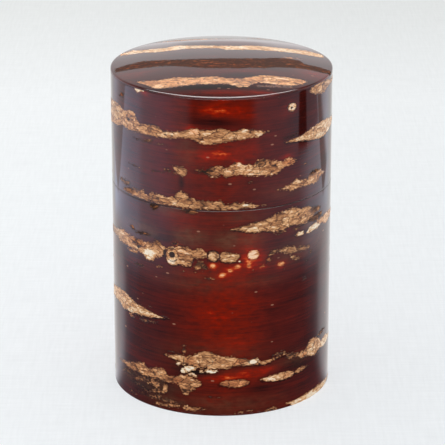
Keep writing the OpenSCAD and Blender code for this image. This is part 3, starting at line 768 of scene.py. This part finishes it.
def figured_bark(name, least_rough):
    """Bark whose patches come from the layers that turned() lays on: sheet (u, v, haze), edge
    (cork, pit, line) and tint_and_painted_glow (tone, hue, painted glow)."""
    g = new_graph(name)
    sheet = g.attribute("sheet")
    cork, pit, line = g.split(g.attribute("edge"))
    tone, hue, glow = g.split(g.attribute("tint_and_painted_glow"))
    haze = g.split(sheet)[2]
    crumble, crack_and_painted_shadow = g.math("FLOOR", line) * 0.1, g.math("FRACT", line)

    # outline: broad wander, crumbs and a fine fray
    wander = g.noise(sheet, (0.35, 1.1))
    crumbs = g.noise(sheet, (1.0, 2.2), 3, 0.65, (7, 3, 0))
    fray = g.noise(sheet, (3.0, 6.5), 2, 0.6, (1, 9, 0))
    depth = cork + wander * 0.8 + crumbs * (crumble * 3.4 + 0.9) + fray * 0.8 - 0.05
    mask = g.step(depth, -0.06, 0.1)

    # cork: blotches, large growths and small cells with brown outlines, specks, dark rim
    bent = g.out("ShaderNodeVectorMath", {0: sheet, 1: g.out("ShaderNodeTexNoise", {
        "Vector": g.scaled(sheet, (0.7, 1.0, 0)), "Scale": 1.0, "Detail": 2.0}, 1)},
        operation="ADD")
    blotch = g.noise(sheet, (0.4, 0.8), 3, 0.6, (3, 5, 2))
    grain = g.noise(sheet, (1.0, 2.9), 3, 0.65, (8, 1, 4))
    speck = g.step(g.noise(sheet, (1.9, 2.8), 2, 0.6, (5, 5, 9)), 0.12, 0.2)
    value = tone * 1.05 + blotch * 0.85 + grain * 0.6 - speck * 0.38 - 0.16
    for scale, shift, contrast, line_width, line_depth in (
            ((0.24, 0.7), (0, 0, 0), 0.2, 0.07, 0.3), ((0.55, 1.9), (4, 1, 0), 0.16, 0.13, 0.1)):
        gap = g.cells(bent, scale, "DISTANCE_TO_EDGE", shift=shift)
        shade = g.split(g.cells(bent, scale, output="Color", shift=shift))[0]
        value = value + shade * contrast + g.step(gap, 0.0, line_width, -line_depth, 0.0)
    value = (value + g.step(depth, 0.0, 0.45, -0.3, 0.04)) * 1.22 - 0.12
    cork_colour = g.ramp(g.math("MINIMUM", value, 1.0), CORK_COLOURS)
    cork_colour = g.mix(g.math("MULTIPLY", hue + blotch * 0.9 + 0.22, 0.6, clamp=True),
                        cork_colour, (1.0, 0.5, 0.26), "MULTIPLY")
    cork_colour = g.mix(g.math("MULTIPLY", hue, -0.7, clamp=True), cork_colour,
                        (0.62, 0.56, 0.72), "MULTIPLY")

    # ground: long horizontal fibres, clouds, painted glow broken into embers, brown haze and small
    # pale ticks
    fibre = g.noise(sheet, (0.045, 1.3), 4, 0.62, (2, 2, 1))
    fine = g.noise(sheet, (0.16, 5.0), 2, 0.6, (4, 8, 3))
    cloud = g.noise(sheet, (0.06, 0.2), 3, 0.55, (6, 1, 7))
    ember = g.noise(sheet, (0.3, 0.6), 3, 0.6, (9, 4, 6))
    # painted glow: red light scattered back out of the bark, painted into the ground's colour
    level = glow * (ember * 1.4 + 0.7) + cloud * 0.36 + fibre * 0.42 + fine * 0.16 + 0.25
    ground = g.ramp(g.math("MAXIMUM", level, 0.0), GROUND_COLOURS)
    wisp = g.noise(sheet, (0.28, 0.42), 4, 0.65, (1, 7, 3))
    haze = g.math("MULTIPLY", haze, wisp * 2.6 + 0.75, clamp=True)
    ground = g.mix(haze, ground, (0.135, 0.058, 0.030))
    tick = g.cells(sheet, (0.11, 0.24), shift=(3, 3, 0))
    tick = g.step(tick, 0.085, 0.05) * g.step(cork, -1.2, -2.0)
    ground = g.mix(tick * 0.55, ground, (0.5, 0.24, 0.15))
    # a dark line round each patch: a thin outline, plus a crack and a painted shadow strongest
    # under it
    near = g.step(depth, -0.75, -0.15) * g.step(depth, 0.08, -0.1)
    ground = g.mix(near * (crack_and_painted_shadow * 0.9 + 0.12), ground, (0.006, 0.003, 0.002))

    colour = g.mix(mask, ground, cork_colour)
    hole = g.step(pit + fray * 0.35, -0.12, 0.12)
    colour = g.mix(hole, colour, (0.026, 0.009, 0.005))

    dull = g.step(tone, 0.45, 0.15, 0.3, 0.75)
    rough = mask * (dull + grain * 0.25) + fine * 0.03 + least_rough
    height = mask * (grain * 0.7 - 0.1) + fibre * 0.06 - hole * 1.2
    shine = mask * g.step(tone, 0.45, 0.15) * -0.36 + 0.5
    return g.principled(colour, rough, height, 0.07, 0.9, IOR=1.47, Specular_IOR_Level=shine)


def plain_bark(name, least_rough, flat):
    """Bark lining with small scattered pores; flat sheets take their place from the object."""
    g = new_graph(name)
    sheet = g.place(scale=1000) if flat else g.attribute("sheet")
    fibre = g.noise(sheet, (0.05, 1.2), 3, 0.6)
    fine = g.noise(sheet, (0.2, 4.5), 2, 0.6, (4, 8, 3))
    cloud = g.noise(sheet, (0.05, 0.12), 2, 0.5, (6, 1, 7))
    ground = g.ramp(cloud * 0.35 + fibre * 0.5 + fine * 0.25 + 0.42, [
        (0.0, (0.022, 0.008, 0.005)), (0.35, (0.07, 0.022, 0.012)),
        (0.65, (0.15, 0.052, 0.025)), (1.0, (0.30, 0.13, 0.065))])
    pore = g.noise(sheet, (0.09, 1.0), 4, 0.65, (1, 4, 6))
    grain = g.noise(sheet, (1.6, 3.2), 3, 0.7, (2, 7, 5))
    mask = g.step(pore + grain * 0.12, 0.15, 0.2)
    cork = g.ramp(grain * 0.9 + 0.45, [(0.0, (0.09, 0.04, 0.02)), (0.5, (0.34, 0.19, 0.095)),
                                       (1.0, (0.62, 0.42, 0.24))])
    colour = g.mix(mask, ground, cork)
    height = mask * 0.5 + fibre * 0.35 + fine * 0.25
    rough = mask * 0.2 + fine * 0.12 + least_rough
    return g.principled(colour, rough, height, 0.08, 0.8, IOR=1.45)


def rolled_veneer():
    """Laminated wall: thin rolled sheets, seen edge-on as rings, with long grain on the faces."""
    g = new_graph("rolled_veneer")
    place = g.place(scale=1000)
    x, y, _ = g.split(place)
    radius = g.radius(x, y)
    ply = g.math("FRACT", radius * 2.4 + g.noise(place, (0.08, 0.08)) * 0.25)
    glue = g.step(ply, 0.0, 0.12, 1.0, 0.0) * 0.75
    grain = g.noise(g.out("ShaderNodeCombineXYZ", {0: g.math("ARCTAN2", x, y), 1: radius}),
                    (26, 1.4), 4, 0.65)
    fleck = g.noise(place, (0.9, 0.9), 3, 0.7, (3, 1, 2))
    colour = g.ramp(grain * 1.1 + fleck * 0.4 + 0.5, [
        (0.1, (0.42, 0.25, 0.12)), (0.5, (0.62, 0.42, 0.23)), (0.9, (0.76, 0.58, 0.36))])
    colour = g.mix(glue, colour, (0.20, 0.09, 0.04))
    return g.principled(colour, grain * 0.2 + 0.55, grain * 0.6 - glue * 0.8, 0.06, 0.8,
                        IOR=1.45)


def board_wood():
    """Flat-sawn board with growth lines along X."""
    g = new_graph("board_wood")
    place = g.place(scale=1000)
    bend = g.noise(place, (0.012, 0.03))
    y = g.split(place)[1]
    ring = g.math("SINE", (y + bend * 26.0) * 1.9)
    grain = g.noise(place, (0.12, 3.2), 4, 0.65, (2, 3, 1))
    pore = g.step(g.noise(place, (0.35, 7.0), 2, 0.5, (9, 3, 1)), 0.12, 0.2)
    colour = g.ramp(ring * 0.13 + grain * 0.7 + 0.5, [
        (0.1, (0.36, 0.20, 0.09)), (0.5, (0.58, 0.38, 0.20)), (0.9, (0.74, 0.55, 0.33))])
    colour = g.mix(pore * 0.5, colour, (0.2, 0.1, 0.045))
    return g.principled(colour, grain * 0.2 + 0.5, grain * 0.5 - pore * 0.6, 0.07, 0.8,
                        IOR=1.45)


# ------------------------ camera, floor and light

def put_camera():
    distance, aim, elevation = 0.8869, Vector((0.00033, 0.0, 0.0584)), math.radians(19.82)
    data = bpy.data.cameras.new("camera")
    data.sensor_width, data.lens = 36.0, 199.9
    data.clip_start, data.clip_end = 0.05, 60.0
    camera = bpy.data.objects.new("camera", data)
    bpy.context.scene.collection.objects.link(camera)
    back = Vector((0.0, -math.cos(elevation), math.sin(elevation)))
    camera.location = aim + back * distance
    camera.rotation_mode = "QUATERNION"
    camera.rotation_quaternion = (-back).to_track_quat("-Z", "Y")
    bpy.context.scene.camera = camera


# The studio round the caddy, in plan: (degrees from the front towards +X, colour)
STUDIO = [
    (-180, (1.02, 1.03, 1.02)), (-146, (1.02, 1.03, 1.02)), (-136, (1.4, 1.52, 1.85)),
    (-92, (1.4, 1.54, 1.95)), (-84, (1.1, 1.14, 1.4)), (-60, (0.9, 0.86, 1.12)),
    (-42, (0.6, 0.53, 0.6)), (-24, (0.34, 0.29, 0.31)), (-14, (0.33, 0.27, 0.27)),
    (0, (0.22, 0.18, 0.18)), (14, (0.33, 0.27, 0.27)), (26, (0.34, 0.29, 0.31)),
    (45, (0.5, 0.44, 0.52)), (82, (0.62, 0.58, 0.7)), (98, (1.2, 1.3, 1.5)),
    (134, (1.3, 1.4, 1.55)), (146, (1.02, 1.03, 1.02)), (180, (1.02, 1.03, 1.02))]


def mirrored_studio(g, x, y):
    """The cloth as the lacquer mirrors it, for a place on it in metres."""
    turn = g.math("ARCTAN2", x, y * -1.0) * (0.5 / math.pi) + 0.5
    studio = g.ramp(turn, [((a + 180) / 360, [c / 2 for c in colour]) for a, colour in STUDIO])
    # the cloth is in shade round the foot, in front; beside and behind it stays bright
    radius = g.radius(x, y)
    lit = g.step((y + 0.03) / radius, 0.35, 0.85)
    fade = g.math("MAXIMUM", g.step(radius, 0.14, 0.205, 0.22, 1.0), lit)
    front = g.step(y / radius, -0.8, -0.9) * g.step(radius, 0.355, 0.385)
    front = front * g.step(radius, 0.8, 0.6)
    studio = g.dimmed(studio, fade * (front * -0.97 + 1.0))
    studio = g.mix(lit * g.step(radius, 0.23, 0.18), studio, (0.52, 0.52, 0.52))
    # gaps between the lamps and the backdrop, left and right, and a dark stand far right
    left = g.step(y + x * 0.083, 0.1325, 0.1385) * g.step(y, 0.34, 0.2, 0.45, 1.0)
    studio = g.mix(left * g.step(x, -0.17, -0.18), studio, (0.42, 0.42, 0.45))
    right = g.step(y - x * 0.133, 0.1034, 0.1094) * g.step(y, 0.22, 0.18)
    studio = g.mix(right * g.step(x, 0.185, 0.195), studio, (0.26, 0.26, 0.26))
    stand = g.step(x, 0.31, 0.325) * g.step(y, -0.05, -0.042) * g.step(y, 0.15, 0.14)
    return g.mix(stand, studio, g.ramp(g.step(y, 0.02, 0.03), [
        (0.0, (0.01, 0.01, 0.01)), (1.0, (0.26, 0.22, 0.25))]))


def make_floor():
    """Pale cloth. Seen directly it is plain, with painted light brighter in front and to the left;
    in the lacquer it shows as the lit studio does.
    """
    g = new_graph("floor_cloth")
    place = g.place()
    x, y, _ = g.split(place)
    # painted light: the cloth is pale blue and brighter in front, greyer and darker at the back
    tone = g.ramp(y + 0.4, [
        (0.0, (0.89, 0.925, 0.95)), (0.47, (0.9, 0.925, 0.945)), (0.6, (0.90, 0.925, 0.94)),
        (0.74, (0.90, 0.92, 0.93)), (0.92, (0.80, 0.815, 0.81)), (1.0, (0.79, 0.805, 0.80))])
    weave = (g.noise(place, (60, 900)) + g.noise(place, (900, 60))) * 0.09 + 1.0
    # the weave, and painted light a little brighter to the left than to the right
    tone = g.dimmed(tone, weave * g.step(x, -0.09, 0.09, 1.01, 0.965))
    glow = g.out("ShaderNodeEmission", {"Color": tone, "Strength": 0.62})
    cloth = g.out("ShaderNodeBsdfDiffuse", {"Color": g.dimmed(tone, 0.4)})
    seen = g.out("ShaderNodeAddShader", {0: glow, 1: cloth})
    mirrored = g.out("ShaderNodeEmission", {"Color": mirrored_studio(g, x, y), "Strength": 2.0})
    glossy = g.out("ShaderNodeLightPath", output="Is Glossy Ray")
    material = g.surface(g.out("ShaderNodeMixShader", {0: glossy, 1: seen, 2: mirrored}))

    mesh = bpy.data.meshes.new("floor")
    half, drop = 14.0, -0.00004
    mesh.from_pydata([(-half, -half, drop), (half, -half, drop), (half, half, drop),
                      (-half, half, drop)], [], [(0, 1, 2, 3)])
    mesh.materials.append(material)
    floor = bpy.data.objects.new("floor", mesh)
    bpy.context.scene.collection.objects.link(floor)


def make_world():
    """Even soft light, and for the lacquer a bright horizon, a dark band and a light overhead."""
    world = bpy.data.worlds.new("studio")
    bpy.context.scene.world = world
    g = Graph(world)
    x, y, z = g.split(g.out("ShaderNodeTexCoord", output="Generated"))
    height = g.math("ARCSINE", z) / math.radians(90)
    degrees = height * 90.0
    bands = g.ramp(height, [(a / 90, (c / 2,) * 3) for a, c in (
        (0, 1.4), (4, 1.12), (9, 1.0), (20, 0.95), (30, 0.8), (35, 0.42), (39, 0.14),
        (48, 0.1), (60, 0.5), (90, 0.7))])
    lamp = g.step(degrees, 46.0, 54.0) * g.step(degrees, 88.0, 78.0)
    lamp = lamp * g.step(g.math("ABSOLUTE", y / g.radius(x, y)), 0.1, 0.4)
    bands = g.mix(lamp, g.scaled(bands, (2.0, 1.96, 1.98)), (13.0, 13.0, 13.0))
    soft = g.step(degrees, 2.0, 3.5) * g.step(degrees, 9.0, 7.0)
    soft = soft * g.step(g.math("ABSOLUTE", x), 0.06, 0.03)
    bands = g.mix(soft * 0.28, bands, (0.0, 0.0, 0.0))
    sky = g.ramp(height, [(0.0, (0.82, 0.84, 0.85)), (0.1, (0.88, 0.9, 0.91)),
                          (1.0, (1.0, 1.0, 1.0))])
    glossy = g.out("ShaderNodeLightPath", output="Is Glossy Ray")
    background = g.out("ShaderNodeBackground", {"Color": g.mix(glossy, sky, bands)})
    g.node("ShaderNodeOutputWorld", {"Surface": background}, {})


# ------------------------ assembly

put_camera()
make_floor()
make_world()
bpy.context.scene.view_settings.view_transform = "Standard"

POLISHED = figured_bark("polished_bark", 0.07)
NECK = figured_bark("neck_bark", 0.2)
LINING = plain_bark("lining_bark", 0.34, flat=False)
dress(rolled_veneer(), "body_core", "tube_core", "lid_core")
dress(board_wood(), "base_board", "crown_board", "inner_lid_board")
dress(plain_bark("lining_bark_flat", 0.34, flat=True),
      "floor_bark", "ceiling_bark", "inner_lid_under_bark")

# Outer bark: body, lid, crown and base
tube_skin("body_bark", BARK_T, 0.05, ARRIS, WALL_ROW, WALL_COLUMNS, POLISHED, wall_figure)

turned("lid_bark_skin", "lid_bark", soften([
    (CORE_R, JOINT_Z), (OUTER_R, JOINT_Z, ARRIS, WALL_ROW),
    (OUTER_R, crown_height(OUTER_R, BARK_T), 0.15), (CORE_R, crown_height(CORE_R, BARK_T))]),
    WALL_COLUMNS, POLISHED, make=wall_figure)

crown_profile = [(r, crown_height(r, BARK_T)) for r in (0, 8, 16, 24, 32)]
crown_profile += [(OUTER_R, crown_height(OUTER_R, BARK_T), 0.18), (OUTER_R, RIM_Z, 0.52)]
crown_profile += [(r, crown_height(r)) for r in np.linspace(OUTER_R - 1, 0, 70)]
turned("crown_bark_skin", "crown_bark", soften(crown_profile), 360, POLISHED,
       closed=False, flat_r=ALL, make_flat=crown_figure)

base_r, base_low, base_high = ring_mm("base_bark")
base_profile = [(r, base_low) for r in np.linspace(0, base_r - 1, 50)]
base_profile += [(base_r, base_low, 0.3), (base_r, base_high, 0.04), (0, base_high)]
turned("base_bark_skin", "base_bark", soften(base_profile), WALL_COLUMNS, POLISHED,
       closed=False, flat_r=base_r - 0.9, make=wall_figure,
       make_flat=small_figure(9, 40, (-34, 34), (-34, 34)))

# Neck and linings
neck_r, neck_low, neck_high = ring_mm("tube_bark")
turned("neck_bark_skin", "tube_bark", soften([
    (neck_r - LINING_T, neck_low), (neck_r, neck_low, 0.05), (neck_r, JOINT_Z - 2, 0, 0.45),
    (neck_r, neck_high, 0.3), (neck_r - LINING_T, neck_high)]), 360, NECK,
    make=small_figure(23, 60, (-122, 122), (78, 102)))
tube_lining("tube_lining", 0, 0.15)
tube_lining("lid_lining", 0.15, 0)

# Inner lid
top_r, top_low, top_high = ring_mm("inner_lid_top_bark")
top_profile = [(HOLE_R, top_low), (top_r, top_low), (top_r, top_high)]
top_profile += [(r, top_high) for r in np.linspace(top_r, HOLE_R, 60)[1:]]
turned("inner_lid_top_skin", "inner_lid_top_bark", soften(top_profile), 240, NECK, flat_r=ALL,
       make_flat=small_figure(57, 60, (-30, 30), (-32, 32)))
tube_skin("inner_lid_edge_bark", BAND_T, 0.12, 0.2, 0.5, 300, NECK,
          small_figure(61, 8, (-122, 122), (102, 104)))
tube_skin("inner_lid_plug_bark", BAND_T, 0.3, 0.05, 1.0, 240, LINING, None)

# The knob, from its dowel through the foot and the waist, which stand on the top, to the cap
cap_r, knob_low, knob_high = ring_mm("inner_lid_knob")
dowel_r = HOLE_R - 0.02
knob = [(0, knob_low), (dowel_r, knob_low), (dowel_r, top_high - 0.02)]
knob += [(r, top_high + z) for r, z in (
    (5.4, -0.02), (5.38, 0.25), (4.86, 1.1), (4.56, 2.0), (4.5, 2.8), (4.62, 3.3), (5.1, 3.52))]
knob += [(6.7, knob_high - 2.44), (cap_r, knob_high - 1.95, 0.55), (cap_r, knob_high - 0.55, 0.7),
         (cap_r - 2.2, knob_high - 0.04, 0.9, 0.6), (0, knob_high)]
turned("inner_lid_knob_skin", "inner_lid_knob", soften(knob), 144, NECK, closed=False,
       make=small_figure(71, 6, (-100, 100), (106, 110)))
